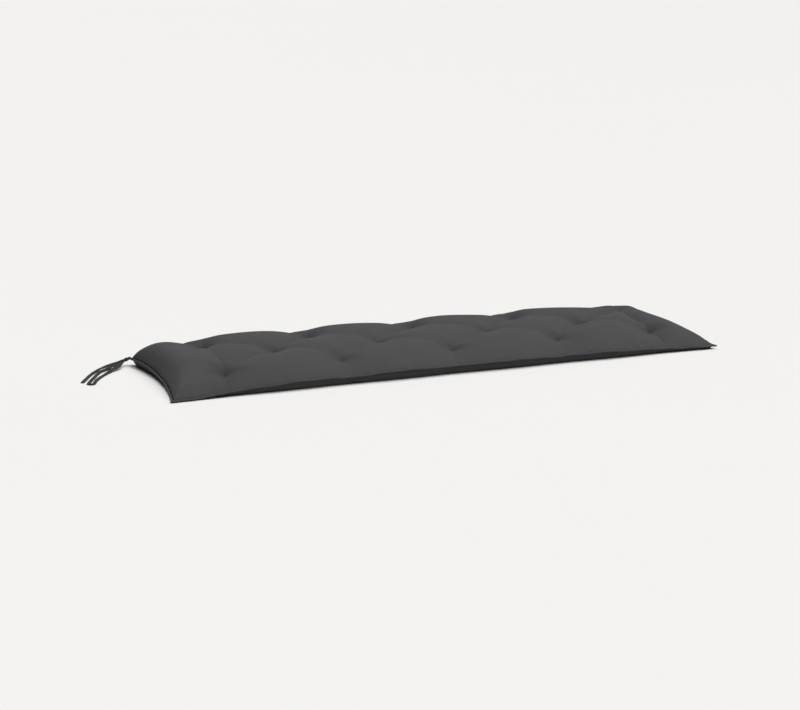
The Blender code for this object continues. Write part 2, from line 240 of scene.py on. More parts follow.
KNOT_SLOPE = math.radians(9.5)

Crease = namedtuple("Crease", "start end depth_start depth_mid depth_end spread")
TINY = 1e-6  # keeps a division by a distance from failing on the seam

# ------------------------------------------------------------------ sizes of the cloth's own detail
Ripple = namedtuple("Ripple", "height length wander wander_length phase", defaults=(0.0, 1.0, 0.0))

CELLS_ALONG = 392
CELLS_ACROSS = 110
EDGE_CROWDING = 0.10
UNDER_MAP_SHIFT = 0.7  # from the upper panel's place in the cloth to the lower one's
PLEAT_HEIGHT = 0.0016  # of the small folds that run out from a tuft
PLEAT_REACH = 0.030
PLEAT_FADING = 2.2
PLEATS_ROUND = 7
PLEAT_TURN = 1.3  # from one tuft's folds to the next one's
FINE_PLEATS = 0.6
FINE_PLEATS_ROUND = 11
FINE_PLEAT_TURN = 2.1
FINE_PLEAT_CURL = 9
PUCKER_HEIGHT = 0.0011  # of the gathers along the seam
PUCKER_REACH = 0.014
PUCKER_FADING = 1.6
PUCKER_WAVES = (Ripple(1.0, 0.0061, 1.7, 0.043), Ripple(0.7, 0.0103, 2.2, 0.071))
PUCKER_MEAN = 0.55
PUCKER_SWELL = (Ripple(0.45, 0.118, phase=0.8),)
PUCKER_STARTS = (0.3, 5.1, 2.7, 9.4)  # of the front, back, left and right sides, so that none repeats another

# Two painted shades, chosen for the look, where the mesh and the light left the cover too pale: a dark line
# beside the piping, on the upper panel only, and the pits. The lower panel takes the shade of the upper one's
# pits and creases, though its own dents are shallow.
SEAM_SHADE = 0.30
SEAM_SHADE_REACH = 0.007
PIT_SHADE = 0.36
PIT_SHADE_DEPTH = 0.046  # of a pit that has the whole of it

HOLD = 0.42  # how firmly the filling keeps the cloth near its place while it settles
HOLD_RUN = 0.010  # over which the hold eases off beside the seam and round each tuft
HOLD_LEVELS = 20
TUFT_HOLD = 0.004
SLACK = 0.012  # share by which the cloth is larger than the shape it covers
CLOTH_SETTINGS = {
    "quality": 6,
    "mass": 0.25,
    "air_damping": 2.0,
    "tension_stiffness": 20,
    "compression_stiffness": 20,
    "shear_stiffness": 8,
    "bending_stiffness": 0.25,
    "tension_damping": 8,
    "compression_damping": 8,
    "shear_damping": 8,
    "bending_damping": 0.6,
    "use_pressure": True,
    "uniform_pressure_force": 4,
    "vertex_group_mass": "held",
    "pin_stiffness": 1.0,
    "shrink_min": -SLACK,
}
SETTLE_FRAMES = 16
SETTLE_CAP = 0.004
SETTLE_SMOOTHING = 6  # passes over the settled cloth's movement, which leave its longer waves
WELD = 0.0001

PIPING_STEPS = 1600
PIPING_SIDES = 12
PIPING_RUN = 4.6  # the seam's length, nearly, along which the piping's unevenness is laid
PIPING_TUCK = 0.0004
PIPING_CLEARANCE = 0.0006
PIPING_SWAY = (Ripple(0.0004, 0.011, 2.0, 0.06), Ripple(0.0003, 0.0041))
PIPING_RISE = (Ripple(0.0005, 0.017, 1.4, 0.09), Ripple(0.0003, 0.0053, phase=1.0))
PIPING_SWELL = (Ripple(0.05, 0.0035), Ripple(0.04, 0.0083, phase=1.3))

STRIP_STEP = 0.0022
ROUTE_STEPS = 24
STRIP_SIDES = 20
STRIP_SQUARENESS = (0.75, 0.80)  # across and up: 1 would be an ellipse
STRIP_LIFTED = 0.0058  # height from which a strip is clear of the floor, eased over the next size
STRIP_LIFTING = 0.002
STRIP_FLATNESS = 0.62  # of the tie's thickness, where a strip is laid out flat
STRIP_BUNCHING = 0.30  # more than that where it is gathered
STRIP_FOLDS = 0.25
STRIP_ROLL = (Ripple(0.20, 0.031),)
STRIP_NARROWING = (Ripple(0.03, 0.012),)
STRIP_THICKENING = (Ripple(0.06, 0.0085),)
FLOOR_CLEARANCE = 0.0003
TIE_SPREAD = 0.25  # share by which a strip is flattened wider where it leaves its gathers
TIE_SPREAD_AT = 0.052
TIE_SPREAD_RUN = 0.028
TIP_RUN = 0.004
TIP_THICKNESS = 0.55
TIP_WIDTH = 0.80

STITCH_LINE = 0.66  # of the half width, where the topstitching runs
STITCH_LINE_WIDTH = 0.10
STITCH_PINCH = 0.16
STITCH_SPACING = 0.0042
STITCH_LENGTH = 0.0030
STITCH_RADIUS = 0.00035
STITCH_LIFT = 0.80
STITCH_GATHERS = 0.7  # of the gathers' run is left without stitches
STITCH_SIDES = 5
STITCH_SHARES = (-1.0, -0.6, 0.0, 0.6, 1.0)
STITCH_DIP = 1.3  # radii by which a stitch's ends are lower than its middle
STITCH_BLUNTNESS = 1.02  # 1 would bring its ends to a point
TUFT_THREAD_LENGTH = 0.011
TUFT_THREAD_RADIUS = 0.0009
TUFT_THREAD_RISE = 0.0022
TUFT_THREAD_SINK = 0.0012
TUFT_THREAD_TURNS = (0.5, 2.0)
TUFT_THREAD_STEP = 0.7  # turn from one tuft's threads to the next one's

Wrap = namedtuple("Wrap", "along tilt size")
KNOT_CORE = (1.30, 0.90, 0.90)  # of the knot's radii
KNOT_NECK = (0.82, 0.72)  # of the knot's second radius, at the neck's two ends
KNOT_WRAPS = (Wrap(-0.0030, 0.25, 1.0), Wrap(0.0004, -0.10, 1.06), Wrap(0.0036, -0.38, 0.94))
KNOT_CELL = 0.0005
NECK_START = 0.3
NECK_LENGTH = 0.013  # from inside the knot to the corner of the piping
WRAP_RADIUS = 0.0042
WRAP_THICKNESS = 0.0016

# ------------------------------------------------------------------ finishes
Weave = namedtuple("Weave", "relief heather")
COVER_WEAVE = Weave(0.45, 0.22)
TIE_WEAVE = Weave(0.55, 0.30)
FINE_THREAD = 0.0007
SLUB_SCALES = ((140.0, 1800.0), (1800.0, 140.0))
SLUB_DETAIL = 2.0
SLUB_RELIEF = 0.5
WEAVE_DEPTH = 0.25  # of a thread's spacing
CLOUD_SCALE = 14.0
CLOUD_DETAIL = 4.0
CLOUD_SHARE = 0.16
WEAVE_SHARE = 0.10
SHADE_BASE = 0.94
CLOTH_ROUGHNESS = (0.12, 0.80)  # from the slubs, and at least
CLOTH_FINISH = {
    "Specular IOR Level": 0.30,
    "Sheen Weight": 0.06,
    "Sheen Roughness": 0.45,
    "Sheen Tint": (0.8, 0.8, 0.85, 1.0),
}
THREAD_TONES = (0.7, 1.2)
THREAD_TWIST = 700.0
THREAD_RELIEF = 0.5
THREAD_DEPTH = 0.0002
THREAD_FINISH = {"Roughness": 0.6, "Specular IOR Level": 0.4}
FLOOR_TONES = (0.995, 1.005)
FLOOR_MOTTLE = 0.6
FLOOR_DETAIL = 3.0
FLOOR_FINISH = {"Roughness": 0.9, "Specular IOR Level": 0.2}

# ------------------------------------------------------------------ stage
# A least-squares fit to the pad's corners and outline in the photograph gave this camera.
CAMERA_PLACE = (-2.0521, -4.7248, 1.2127)
CAMERA_TURN = (math.radians(76.818), 0, math.radians(-22.457))
CAMERA_LENS = 75.58
CAMERA_SENSOR = 36
VIEW_END = 500
FLOOR_SIZE = 400

# Suns wide enough to act as softboxes, turned from +X towards +Y, in degrees. Their strengths are rounded
# from a fit of test renders to the photograph's tones, and then changed.
Lamp = namedtuple("Lamp", "name turn height softness strength")
LAMP_DISTANCE = 4
LAMPS = [
    Lamp("right", 0, 60, 55, 0.95),
    Lamp("front_right", -60, 60, 60, 0.85),
    Lamp("overhead", 0, 75, 70, 2.20),
    Lamp("low_back", 90, 15, 40, 0.30),
]


# ------------------------------------------------------------------ the pad's shape
def lookup(rows, along):
    """The height at places along a seam, eased between the rows of its table."""
    places = np.array([row.along for row in rows])
    heights = np.array([row.height for row in rows])
    index = np.clip(np.searchsorted(places, along, side="right") - 1, 0, len(rows) - 2)
    share = np.clip((along - places[index]) / (places[index + 1] - places[index]), 0, 1)
    return heights[index] + (heights[index + 1] - heights[index]) * share * share * (3 - 2 * share)


def arch(distance, shoulder):
    """0 at the seam and 1 from the shoulder's reach inwards."""
    share = np.clip(distance / shoulder.reach, 0, 1)
    return 1 - (1 - share) ** shoulder.power


def corner_rise(first, second):
    """The two shoulders together: less than either near a corner, but fuller there than their product."""
    low = np.maximum(np.minimum(first, second), TINY)
    high = np.maximum(np.maximum(first, second), TINY)
    return (low ** -CORNER_FULLNESS + high ** -CORNER_FULLNESS - 1) ** (-1 / CORNER_FULLNESS)


def trough(distance, spread, power):
    """1 at the middle of a dent and 0 from its spread outwards."""
    return (1 - np.minimum(distance / spread, 1.0)) ** power


def slant_crease(first, second, depth):
    ends = (first.x, first.y), (second.x, second.y)
    return Crease(*ends, CREASE_END_DEPTH, depth, CREASE_END_DEPTH, CREASE_SPREAD)


def seam_crease(tuft, side, spread):
    ends = (tuft.x, tuft.y), (tuft.x - tuft.lean, side)
    return Crease(*ends, CREASE_END_DEPTH, tuft.seam, tuft.seam, spread)


def make_creases():
    """Creases that slant between neighbouring tufts, cross each end, and run from outer tufts to the seam."""
    creases = []
    lefts = [BACK_TUFTS[0]] + MIDDLE_TUFTS + BACK_TUFTS[:-1]
    middles = FRONT_TUFTS + MIDDLE_TUFTS
    rights = MIDDLE_TUFTS + [BACK_TUFTS[-1]] + BACK_TUFTS[1:]
    for left, tuft, right in zip(lefts, middles, rights):
        creases.append(slant_crease(tuft, left, tuft.falling))
        creases.append(slant_crease(tuft, right, tuft.rising))
    for tuft in FRONT_TUFTS:
        creases.append(seam_crease(tuft, -HALF_WIDTH, CREASE_SPREAD))
    for tuft in BACK_TUFTS:
        creases.append(seam_crease(tuft, HALF_WIDTH, BACK_CREASE_SPREAD))
    return creases


TUFTS = FRONT_TUFTS + MIDDLE_TUFTS + BACK_TUFTS
CREASES = make_creases()


def crease_dent(crease, x, y):
    run_x = crease.end[0] - crease.start[0]
    run_y = crease.end[1] - crease.start[1]
    share = ((x - crease.start[0]) * run_x + (y - crease.start[1]) * run_y) / (run_x ** 2 + run_y ** 2)
    share = np.clip(share, 0, 1)
    away = np.hypot(x - crease.start[0] - run_x * share, y - crease.start[1] - run_y * share)
    depth = crease.depth_mid + (crease.depth_start - crease.depth_mid) * (1 - share) ** CREASE_END_POWER
    depth = depth + (crease.depth_end - crease.depth_mid) * share ** CREASE_END_POWER
    return depth * trough(away, crease.spread, CREASE_POWER)


def top_dent(x, y):
    """All the tufts and creases of the upper panel together, as a smooth maximum."""
    total = np.zeros_like(x)
    for tuft in TUFTS:
        away_x = x - tuft.x
        away_y = y - tuft.y
        skewed = TUFT_SKEW * (away_x * math.cos(SKEW_ANGLE) + away_y * math.sin(SKEW_ANGLE))
        dent = tuft.depth * trough(np.hypot(away_x, away_y) + skewed, TUFT_SPREAD, TUFT_POWER)
        total += dent ** BLEND_POWER
    for crease in CREASES:
        total += crease_dent(crease, x, y) ** BLEND_POWER
    return total ** (1 / BLEND_POWER)


def along_pad(x):
    return (x / HALF_LENGTH + 1) * LENGTH / 2


def seam_height(x, y):
    """The seam's height where a place lies on it, and a smooth mean of the four sides inside it."""
    along = along_pad(x)
    across = (y / HALF_WIDTH + 1) * WIDTH / 2
    total = np.zeros_like(x)
    weights = np.zeros_like(x)
    for distance, height in (
        (HALF_WIDTH + y, lookup(FRONT_SEAM, along)),
        (HALF_WIDTH - y, lookup(BACK_SEAM, along)),
        (HALF_LENGTH + x, lookup(LEFT_SEAM, across)),
        (HALF_LENGTH - x, lookup(RIGHT_SEAM, across)),
    ):
        weight = 1 / np.maximum(distance, TINY) ** 2
        total += weight * height
        weights += weight
    return total / weights


def drawn_in(x, y):
    """The plan position of a place on the flat panel, once filling has drawn the sides in."""
    u = np.abs(x / HALF_LENGTH)
    v = np.abs(y / HALF_WIDTH)
    end_pull = END_DRAW * (1 - v ** 2) * u ** END_REACH
    tuft_pull = SCALLOP * np.cos(2 * math.pi * x / TUFT_PITCH) * (1 - u ** CORNER_REACH)
    side_pull = (SIDE_DRAW * (1 - u ** CORNER_REACH) + tuft_pull) * v ** SIDE_REACH
    return x - np.sign(x) * end_pull, y - np.sign(y) * side_pull


def ripple(run, waves, phase=0.0):
    """Unevenness along a run: sine waves, each with a spacing that may wander."""
    total = np.zeros_like(run)
    for wave in waves:
        wander = wave.wander * np.sin(run / wave.wander_length)
        total = total + wave.height * np.sin(run / wave.length + wander + wave.phase + phase)
    return total


def pleats(x, y):
    """Small folds that run out from each tuft, uneven from one to the next."""
    total = np.zeros_like(x)
    for index, tuft in enumerate(TUFTS):
        away = np.hypot(x - tuft.x, y - tuft.y) / PLEAT_REACH
        turn = np.arctan2(y - tuft.y, x - tuft.x)
        coarse = np.cos(PLEATS_ROUND * turn + PLEAT_TURN * index)
        fine = np.cos(FINE_PLEATS_ROUND * turn - FINE_PLEAT_TURN * index + FINE_PLEAT_CURL * away)
        total += PLEAT_HEIGHT * (coarse + FINE_PLEATS * fine) * away * np.exp(1 - PLEAT_FADING * away)
    return total


def puckers(run, distance):
    """Gathers along the seam, where the run is the way round it and the distance is inwards."""
    fading = PUCKER_MEAN + ripple(run, PUCKER_SWELL)
    rise = (distance / PUCKER_REACH) * np.exp(1 - PUCKER_FADING * distance / PUCKER_REACH)
    return PUCKER_HEIGHT * ripple(run, PUCKER_WAVES) * fading * rise


def seam_gathers(x, y):
    """The puckers of the four sides together."""
    front, back, left, right = PUCKER_STARTS
    total = puckers(x + front, HALF_WIDTH + y) + puckers(x + back, HALF_WIDTH - y)
    return total + puckers(y + left, HALF_LENGTH + x) + puckers(y + right, HALF_LENGTH - x)


def top_place(x, y, detail=True):
    """Where places on the flat panel come to lie on the upper one, with or without its small folds."""
    front = arch(HALF_WIDTH - np.abs(y), FRONT_SHOULDER)
    back = arch(HALF_WIDTH - np.abs(y), BACK_SHOULDER)
    side = np.where(y < 0, front, back)
    rise = corner_rise(arch(HALF_LENGTH - np.abs(x), END_SHOULDER), side)
    rim = np.minimum(HALF_LENGTH - np.abs(x), HALF_WIDTH - np.abs(y)) < TINY
    rise = np.where(rim, 0.0, rise)
    seam = seam_height(x, y)
    z = seam + (lookup(CROWN, along_pad(x)) - top_dent(x, y) - seam) * rise
    if detail:
        z = z + pleats(x, y) + seam_gathers(x, y)
    plan_x, plan_y = drawn_in(x, y)
    return np.stack([plan_x, plan_y, z], axis=1)


def under_place(x, y):
    """Where places on the flat panel come to lie on the lower one."""
    ends = arch(HALF_LENGTH - np.abs(x), UNDER_SHOULDER)
    inwards = ends * arch(HALF_WIDTH - np.abs(y), UNDER_SHOULDER)
    lift = np.zeros_like(x)
    for tuft in TUFTS:
        away = np.hypot(x - tuft.x, y - tuft.y)
        lift = np.maximum(lift, UNDER_TUFT_DEPTH * trough(away, UNDER_TUFT_SPREAD, UNDER_TUFT_POWER))
    z = seam_height(x, y) * (1 - inwards) + lift + np.maximum(seam_gathers(x, y), 0) * (1 - inwards)
    plan_x, plan_y = drawn_in(x, y)
    return np.stack([plan_x, plan_y, np.maximum(z, 0.0)], axis=1)


# ------------------------------------------------------------------ small helpers
def deselect_all():
    for item in bpy.context.view_layer.objects:
        item.select_set(False)


def make_active(item):
    deselect_all()
    item.select_set(True)
    bpy.context.view_layer.objects.active = item


def join_parts(parts):
    """Joins the other parts to the first."""
    make_active(parts[0])
    for part in parts:
        part.select_set(True)
    bpy.ops.object.join()
    return parts[0]


def new_object(name, data):
    item = bpy.data.objects.new(name, data)
    bpy.context.scene.collection.objects.link(item)
    return item


def object_from(body, name):
    """Turns a finished bmesh into an object, with its faces turned outwards."""
    bmesh.ops.recalc_face_normals(body, faces=body.faces)
    mesh = bpy.data.meshes.new(name)
    body.to_mesh(mesh)
    body.free()
    return new_object(name, mesh)


def finish_piece(item, material, slot, *nodes):
    """Gives a piece its material and its body, and hides the solids that it stands for. The slot is not used.
    """
    if not item.data.polygons:
        raise RuntimeError(f"{item.name} has no faces")
    item.data.materials.clear()
    item.data.materials.append(material)
    item.data.shade_smooth()
    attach(item, BODY)
    if nodes:
        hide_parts(*nodes)


def crowded(share, amount):
    """A share from -1 to 1, moved towards the nearer end so that a grid is finer there."""
    return share + amount * share * (1 - share * share)


def read_places(mesh):
    places = np.empty(len(mesh.vertices) * 3)
    mesh.vertices.foreach_get("co", places)
    return places.reshape(-1, 3)


def write_places(mesh, places):
    mesh.vertices.foreach_set("co", np.ascontiguousarray(places, dtype=np.float32).ravel())
    mesh.update()


def lay_cloth_map(mesh, flat):
    """Gives a mesh the UV map that the weave follows: the flat place of each of its points, in metres."""
    layer = mesh.uv_layers[0] if mesh.uv_layers else mesh.uv_layers.new()
    layer.name = "cloth"
    corners = np.empty(len(mesh.loops), dtype=np.int32)
    mesh.loops.foreach_get("vertex_index", corners)
    layer.data.foreach_set("uv", flat[corners].astype(np.float32).ravel())


# ------------------------------------------------------------------ cloth finishes
class Wiring:
    """Adds and joins shader nodes in one new material."""

    def __init__(self, name):
        self.material = bpy.data.materials.new(name)
        self.material.use_nodes = True
        self.tree = self.material.node_tree
        self.shader = self.tree.nodes["Principled BSDF"]
        self.across = -1800

    def node(self, kind, **settings):
        item = self.tree.nodes.new(kind)
        item.location = (self.across, 0)
        self.across += 120
        for key, value in settings.items():
            setattr(item, key, value)
        return item

    def join(self, source, target):
        self.tree.links.new(source, target)

    def math(self, operation, first, second=None):
        item = self.node("ShaderNodeMath", operation=operation)
        for socket, value in zip(item.inputs, (first, second)):
            if value is None:
                continue
            if isinstance(value, (int, float)):
                socket.default_value = value
            else:
                self.join(value, socket)
        return item.outputs[0]

    def blend(self, factor, first, second):
        item = self.node("ShaderNodeMix", data_type="FLOAT")
        for socket, value in (("Factor", factor), ("A", first), ("B", second)):
            self.join(value, item.inputs[socket])
        return item.outputs[0]

    def noise(self, place, scale, detail):
        item = self.node("ShaderNodeTexNoise")
        item.inputs["Scale"].default_value = scale
        item.inputs["Detail"].default_value = detail
        self.join(place, item.inputs["Vector"])
        return item.outputs["Fac"]

    def two_tones(self, factor, colour, tones):
        """Lets the colour vary between two shares of itself."""
        tint = self.node("ShaderNodeMix", data_type="RGBA", blend_type="MIX")
        for socket, tone in zip(("A", "B"), tones):
            tint.inputs[socket].default_value = (*[tone * value for value in colour], 1.0)
        self.join(factor, tint.inputs["Factor"])
        self.join(tint.outputs["Result"], self.shader.inputs["Base Color"])

    def relief(self, height, strength, distance):
        bump = self.node("ShaderNodeBump")
        bump.inputs["Strength"].default_value = strength
        bump.inputs["Distance"].default_value = distance
        self.join(height, bump.inputs["Height"])
        self.join(bump.outputs["Normal"], self.shader.inputs["Normal"])

    def finish(self, values):
        for socket, value in values.items():
            self.shader.inputs[socket].default_value = value
        return self.material


def painted_shade(wiring, parts):
    """Near 1 on the crowns, and less beside the piping, in the pits and a little in the creases."""
    from_side = wiring.math("SUBTRACT", HALF_WIDTH, wiring.math("ABSOLUTE", parts.outputs["Y"]))
    from_end = wiring.math("SUBTRACT", HALF_LENGTH, wiring.math("ABSOLUTE", parts.outputs["X"]))
    distance = wiring.math("ABSOLUTE", wiring.math("MINIMUM", from_side, from_end))
    share = wiring.math("MINIMUM", wiring.math("DIVIDE", distance, SEAM_SHADE_REACH), 1.0)
    seam = wiring.math("ADD", wiring.math("MULTIPLY", share, SEAM_SHADE), 1 - SEAM_SHADE)
    pits = wiring.node("ShaderNodeAttribute", attribute_name="pit_shade")
    return wiring.math("MULTIPLY", seam, pits.outputs["Fac"])


def plain_weave(wiring, place, parts, thread):
    """The height of the weave, and the slubs along whichever thread lies on top."""
    warp = wiring.math("SINE", wiring.math("MULTIPLY", parts.outputs["X"], math.pi / thread))
    weft = wiring.math("SINE", wiring.math("MULTIPLY", parts.outputs["Y"], math.pi / thread))
    over = wiring.math("GREATER_THAN", wiring.math("MULTIPLY", warp, weft), 0.0)
    height = wiring.blend(over, wiring.math("ABSOLUTE", warp), wiring.math("ABSOLUTE", weft))
    slubs = []
    for scale_x, scale_y in SLUB_SCALES:
        stretch = wiring.node("ShaderNodeMapping")
        stretch.inputs["Scale"].default_value = (scale_x, scale_y, 1.0)
        wiring.join(place, stretch.inputs["Vector"])
        slubs.append(wiring.noise(stretch.outputs[0], 1.0, SLUB_DETAIL))
    return height, wiring.blend(over, *slubs)


def woven_cloth(name, colour, thread, weave, painted=False):
    """A plain weave that follows the piece's own UV map, which is the flat cloth in metres."""
    wiring = Wiring(name)
    place = wiring.node("ShaderNodeUVMap", uv_map="cloth").outputs["UV"]
    parts = wiring.node("ShaderNodeSeparateXYZ")
    wiring.join(place, parts.inputs[0])
    height, slubs = plain_weave(wiring, place, parts, thread)
    cloud = wiring.noise(place, CLOUD_SCALE, CLOUD_DETAIL)

    shade = wiring.math("MULTIPLY", wiring.math("SUBTRACT", slubs, 0.5), weave.heather)
    mottle = wiring.math("MULTIPLY", wiring.math("SUBTRACT", cloud, 0.5), CLOUD_SHARE)
    shade = wiring.math("ADD", shade, mottle)
    shade = wiring.math("ADD", shade, wiring.math("MULTIPLY", height, WEAVE_SHARE))
    shade = wiring.math("ADD", shade, SHADE_BASE)
    if painted:
        shade = wiring.math("MULTIPLY", shade, painted_shade(wiring, parts))
    tint = wiring.node("ShaderNodeMix", data_type="RGBA", blend_type="MULTIPLY")
    tint.inputs["Factor"].default_value = 1.0
    tint.inputs["A"].default_value = (*colour, 1.0)
    grey = wiring.node("ShaderNodeCombineColor")
    for socket in grey.inputs:
        wiring.join(shade, socket)
    wiring.join(grey.outputs[0], tint.inputs["B"])
    wiring.join(tint.outputs["Result"], wiring.shader.inputs["Base Color"])

    rounded = wiring.math("ADD", height, wiring.math("MULTIPLY", slubs, SLUB_RELIEF))
    wiring.relief(rounded, weave.relief, thread * WEAVE_DEPTH)
    rough = wiring.math("ADD", wiring.math("MULTIPLY", slubs, CLOTH_ROUGHNESS[0]), CLOTH_ROUGHNESS[1])
    wiring.join(rough, wiring.shader.inputs["Roughness"])
    return wiring.finish(CLOTH_FINISH)


def spun_thread(name, colour):
    """Twisted sewing thread: a fine slanting ripple along each stitch."""
    wiring = Wiring(name)
    place = wiring.node("ShaderNodeTexCoord")
    wave = wiring.node("ShaderNodeTexWave", bands_direction="DIAGONAL")
    wave.inputs["Scale"].default_value = THREAD_TWIST
    wave.inputs["Distortion"].default_value = 1.0
    wiring.join(place.outputs["Object"], wave.inputs["Vector"])
    wiring.two_tones(wave.outputs["Fac"], colour, THREAD_TONES)
    wiring.relief(wave.outputs["Fac"], THREAD_RELIEF, THREAD_DEPTH)
    return wiring.finish(THREAD_FINISH)


def studio_floor(name, colour):
    """A pale matt surface, hardly mottled."""
    wiring = Wiring(name)
    place = wiring.node("ShaderNodeTexCoord")
    mottle = wiring.noise(place.outputs["Object"], FLOOR_MOTTLE, FLOOR_DETAIL)
    wiring.two_tones(mottle, colour, FLOOR_TONES)
    return wiring.finish(FLOOR_FINISH)


# ------------------------------------------------------------------ the cushion
def add_panel(name, place_of, facing_up):
    """One panel of cloth: a flat grid, marked with its flat size as UVs and moved to its shape."""
    deselect_all()
    bpy.ops.mesh.primitive_grid_add(x_subdivisions=CELLS_ALONG, y_subdivisions=CELLS_ACROSS, size=2.0)
    panel = bpy.context.object
    panel.name = name
    mesh = panel.data
    flat = read_places(mesh)
    x = flat[:, 0] * HALF_LENGTH
    y = crowded(flat[:, 1], EDGE_CROWDING) * HALF_WIDTH
    lay_cloth_map(mesh, np.stack([x, y + (0.0 if facing_up else UNDER_MAP_SHIFT)], axis=1))
    shade = 1 - PIT_SHADE * (top_dent(x, y) / PIT_SHADE_DEPTH) ** 2
    mesh.attributes.new("pit_shade", "FLOAT", "POINT").data.foreach_set("value", shade.astype(np.float32))
    write_places(mesh, place_of(x, y))
    if not facing_up:
        mesh.flip_normals()
    return panel, x, y


def settling_hold(x, y):
    """How firmly each point is held: wholly at the seam and the tufts, and by the filling elsewhere."""
    rim = np.minimum(HALF_LENGTH - np.abs(x), HALF_WIDTH - np.abs(y))
    nearest = np.min([np.hypot(x - tuft.x, y - tuft.y) for tuft in TUFTS], axis=0)
    held = np.maximum(1 - rim / HOLD_RUN, 1 - (nearest - TUFT_HOLD) / HOLD_RUN)
    return np.clip(held, HOLD, 1)


def settle(panel, held):
    """Lets the cloth, cut a little larger than its shape, settle over the filling."""
    start = read_places(panel.data)
    group = panel.vertex_groups.new(name="held")
    levels = np.round(held * HOLD_LEVELS) / HOLD_LEVELS
    for level in np.unique(levels):
        group.add([int(i) for i in np.nonzero(levels == level)[0]], float(level), "REPLACE")
    make_active(panel)
    cloth = panel.modifiers.new("settling", "CLOTH")
    cloth.settings.effector_weights.gravity = 0
    for key, value in CLOTH_SETTINGS.items():
        setattr(cloth.settings, key, value)
    cloth.collision_settings.use_collision = False
    cloth.collision_settings.use_self_collision = False
    scene = bpy.context.scene
    for clock in (scene, cloth.point_cache):
        clock.frame_start = 1
        clock.frame_end = SETTLE_FRAMES
    for step in range(1, SETTLE_FRAMES + 1):
        scene.frame_set(step)
    bpy.ops.object.modifier_apply(modifier=cloth.name)
    moved = (read_places(panel.data) - start).reshape(CELLS_ACROSS + 1, CELLS_ALONG + 1, 3)
    scene.frame_set(1)
    for _ in range(SETTLE_SMOOTHING):
        for axis in (0, 1):
            padded = np.concatenate([moved.take([0], axis), moved, moved.take([-1], axis)], axis=axis)
            count = moved.shape[axis]
            moved = (padded.take(range(count), axis) + 2 * moved + padded.take(range(2, count + 2), axis)) / 4
    moved = moved.reshape(-1, 3) * (1 - held[:, None]) / (1 - HOLD)
    length = np.linalg.norm(moved, axis=1, keepdims=True)
    write_places(panel.data, start + moved * SETTLE_CAP / np.hypot(length, SETTLE_CAP))


def build_cushion(material):
    """The filled cover: its upper and its lower panel, sewn together at the rim."""
    top, x, y = add_panel("cushion_cover", top_place, facing_up=True)
    settle(top, settling_hold(x, y))
    under = add_panel("cushion_under", under_place, facing_up=False)[0]
    join_parts([top, under])
    bpy.ops.object.mode_set(mode="EDIT")
    bpy.ops.mesh.select_all(action="SELECT")
    bpy.ops.mesh.remove_doubles(threshold=WELD)
    bpy.ops.object.mode_set(mode="OBJECT")
    top.vertex_groups.clear()
    finish_piece(top, material, "cover_cloth", "cushion")


# ------------------------------------------------------------------ piping
def seam_places(count):
    """Points once round the seam, evenly spaced along each side of the flat panel."""
    sides = ((-1, -1, 1, -1), (1, -1, 1, 1), (1, 1, -1, 1), (-1, 1, -1, -1))
    lengths = (2 * HALF_LENGTH, 2 * HALF_WIDTH, 2 * HALF_LENGTH, 2 * HALF_WIDTH)
    points = []
    for (x0, y0, x1, y1), length in zip(sides, lengths):
        steps = round(count * length / sum(lengths))
        share = np.arange(steps) / steps
        points.append(np.stack([(x0 + (x1 - x0) * share) * HALF_LENGTH,
                                (y0 + (y1 - y0) * share) * HALF_WIDTH], axis=1))
    flat = np.concatenate(points)
    return top_place(flat[:, 0], flat[:, 1], detail=False)


def sweep(name, centres, outward, upward, section, closed, uv_width):
    """A mesh swept along points. The section gives (out, up) offsets for each point, as an array of
    shape (points, sides, 2)."""
    count, sides = section.shape[:2]
    body = bmesh.new()
    rings = []
    for index in range(count):
        ring = []
        for out, up in section[index]:
            ring.append(body.verts.new(centres[index] + outward[index] * out + upward[index] * up))
        rings.append(ring)
    layer = body.loops.layers.uv.new("cloth")
    step = np.linalg.norm(np.diff(centres, axis=0, append=centres[:1]), axis=1)
    walked = np.concatenate([[0.0], np.cumsum(step)])
    for index in range(count if closed else count - 1):
        here, there = rings[index], rings[(index + 1) % count]
        for side in range(sides):
            after = (side + 1) % sides
            face = body.faces.new((here[side], there[side], there[after], here[after]))
            shares = (side, side, side + 1, side + 1)
            alongs = (walked[index], walked[index + 1], walked[index + 1], walked[index])
            for loop, share, along in zip(face.loops, shares, alongs):
                loop[layer].uv = (along, share / sides * uv_width)
    if not closed:
        for ring in (rings[0], rings[-1]):
            middle = sum((vert.co for vert in ring), Vector()) / sides
            hub = body.verts.new(middle)
            for side in range(sides):
                face = body.faces.new((ring[side], ring[(side + 1) % sides], hub))
                for loop in face.loops:
                    loop[layer].uv = (loop.vert.co.x, loop.vert.co.y)
    return object_from(body, name)


